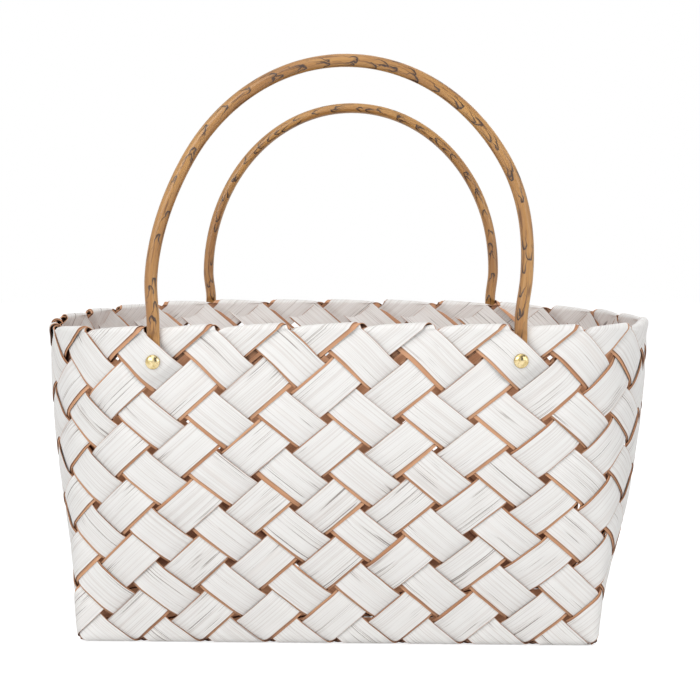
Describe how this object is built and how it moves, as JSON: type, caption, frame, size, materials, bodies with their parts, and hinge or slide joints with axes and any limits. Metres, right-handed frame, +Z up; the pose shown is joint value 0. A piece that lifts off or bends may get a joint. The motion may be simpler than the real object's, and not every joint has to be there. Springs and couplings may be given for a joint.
{
  "type": "woven basket bag",
  "caption": "Open shopping basket plaited on the bias from white wood strips, with two riveted bent-cane arch handles.",
  "frame": {"origin": "middle of the base, on the surface that the basket stands on", "axes": "+Z up; +X along the long side of the basket; the front wall faces -Y"},
  "size_m": [0.409, 0.273, 0.364],
  "materials": {
    "painted_wood": "thin white paint on the outer ply, fine lengthwise grain showing; inner ply and all edges raw tan",
    "cane": "varnished bent cane, amber with dark brown grain marks, satin",
    "brass": "polished"
  },
  "bodies": {
    "root": {"strip_rising_01": "painted_wood", "strip_rising_02": "painted_wood", "strip_rising_03": "painted_wood", "strip_rising_04": "painted_wood", "strip_rising_05": "painted_wood", "strip_rising_06": "painted_wood", "strip_rising_07": "painted_wood", "strip_rising_08": "painted_wood", "strip_rising_09": "painted_wood", "strip_rising_10": "painted_wood", "strip_rising_11": "painted_wood", "strip_rising_12": "painted_wood", "strip_rising_13": "painted_wood", "strip_falling_01": "painted_wood", "strip_falling_02": "painted_wood", "strip_falling_03": "painted_wood", "strip_falling_04": "painted_wood", "strip_falling_05": "painted_wood", "strip_falling_06": "painted_wood", "strip_falling_07": "painted_wood", "strip_falling_08": "painted_wood", "strip_falling_09": "painted_wood", "strip_falling_10": "painted_wood", "strip_falling_11": "painted_wood", "strip_falling_12": "painted_wood", "strip_falling_13": "painted_wood", "handle_front": "cane", "rivet_front_left": "brass", "washer_front_left": "brass", "rivet_front_right": "brass", "washer_front_right": "brass", "handle_back": "cane", "rivet_back_left": "brass", "washer_back_left": "brass", "rivet_back_right": "brass", "washer_back_right": "brass"}
  },
  "joints": []
}
